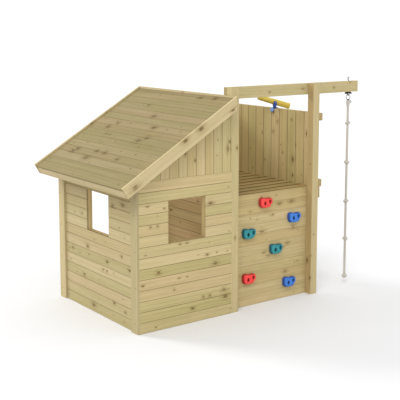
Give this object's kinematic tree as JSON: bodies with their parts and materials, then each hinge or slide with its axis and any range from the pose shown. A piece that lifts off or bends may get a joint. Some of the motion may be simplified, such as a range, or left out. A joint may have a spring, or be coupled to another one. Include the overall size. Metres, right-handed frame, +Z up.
{
  "type": "rock climbing wall with playhouse",
  "caption": "Timber playhouse with a sloping roof beside a raised platform whose front is a climbing wall with plastic holds, plus a telescope and a knotted climbing rope on a beam.",
  "frame": {"origin": "middle of the base: the centre of the whole object's plan, on the ground", "axes": "+Z up; +X along the front, from the playhouse towards the beam that carries the rope; +Y from the front, where the climbing wall is, to the back, where the doorway is"},
  "size_m": [3.2004, 1.8, 2.3514],
  "materials": {
    "pine_boards": "rough sawn softwood, pressure treated, matt",
    "pine_climbing": "rough sawn softwood, pressure treated, matt",
    "pine_post": "rough sawn softwood, pressure treated, matt",
    "pine_trim": "rough sawn softwood, pressure treated, matt",
    "pine_roof": "rough sawn softwood, pressure treated, matt",
    "pine_deck": "rough sawn softwood, pressure treated, matt",
    "pine_guard": "rough sawn softwood, pressure treated, matt",
    "pine_frame": "rough sawn softwood, pressure treated, matt",
    "hold_red": "textured moulded plastic",
    "hold_blue": "textured moulded plastic",
    "hold_green": "textured moulded plastic",
    "telescope_blue": "satin moulded plastic",
    "telescope_pale_blue": "satin moulded plastic",
    "telescope_yellow": "satin moulded plastic",
    "steel": "zinc plated",
    "dark_steel": "dark coated steel",
    "black_steel": "black powder coat",
    "rope": "three strand laid rope"
  },
  "bodies": {
    "structure": {"back_bargeboard": "pine_trim", "back_gable_panel": "pine_boards", "back_guard_panel": "pine_guard", "back_rafter": "pine_frame", "back_upper_rail": "pine_guard", "back_wall_panel": "pine_boards", "beam_hook_bolt": "steel", "climbing_board_01": "pine_climbing", "climbing_board_02": "pine_climbing", "climbing_board_03": "pine_climbing", "climbing_board_04": "pine_climbing", "climbing_board_05": "pine_climbing", "climbing_board_06": "pine_climbing", "climbing_board_07": "pine_climbing", "climbing_board_08": "pine_climbing", "climbing_board_09": "pine_climbing", "climbing_board_10": "pine_climbing", "climbing_board_11": "pine_climbing", "climbing_wall_batten": "pine_frame", "corner_trim_back": "pine_trim", "corner_trim_front": "pine_trim", "deck_boards": "pine_deck", "doorway_frame": "pine_frame", "eave_fascia": "pine_trim", "front_bargeboard": "pine_trim", "front_gable_panel": "pine_boards", "front_rafter": "pine_frame", "front_wall_panel": "pine_boards", "front_window_frame": "pine_frame", "hold_blue_low": "hold_blue", "hold_blue_top": "hold_blue", "hold_green_left": "hold_green", "hold_green_middle": "hold_green", "hold_red_low": "hold_red", "hold_red_top": "hold_red", "left_joist": "pine_frame", "left_wall_panel": "pine_boards", "left_wall_plate": "pine_frame", "left_window_frame": "pine_frame", "partition_panel": "pine_boards", "post_back_left": "pine_post", "post_back_right": "pine_post", "post_front_left": "pine_post", "post_front_right": "pine_post", "ridge_board": "pine_trim", "right_guard_panel": "pine_guard", "right_joist": "pine_frame", "right_lower_rail": "pine_guard", "right_rim_board": "pine_guard", "right_upper_rail": "pine_guard", "roof_boards": "pine_roof", "swing_bracket": "black_steel", "telescope_base": "telescope_blue", "telescope_cap": "telescope_pale_blue", "top_beam": "pine_guard"},
    "telescope_yoke": {"telescope_yoke": "telescope_blue"},
    "telescope_tube": {"telescope_tube": "telescope_yellow"},
    "link_ring": {"link_ring": "steel"},
    "rope": {"rope_eye": "dark_steel", "climbing_rope": "rope"}
  },
  "joints": [
    {"name": "telescope_pan", "type": "hinge", "parent": "structure", "child": "telescope_yoke", "pos_m": [0.9342, -0.053, 1.985], "axis": [0, 0, 1], "range_deg": [-22, 80]},
    {"name": "telescope_tilt", "type": "hinge", "parent": "telescope_yoke", "child": "telescope_tube", "pos_m": [0.9342, -0.053, 2.055], "axis": [0.5, 0.866, 0], "range_deg": [-46, 4]},
    {"name": "ring_swing", "type": "hinge", "parent": "structure", "child": "link_ring", "pos_m": [1.4757, -0.6722, 2.1531], "axis": [1, 0, 0], "range_deg": [-45, 45]},
    {"name": "rope_swing", "type": "hinge", "parent": "link_ring", "child": "rope", "pos_m": [1.4757, -0.6722, 2.1231], "axis": [0, 1, 0], "range_deg": [-45, 13]}
  ]
}
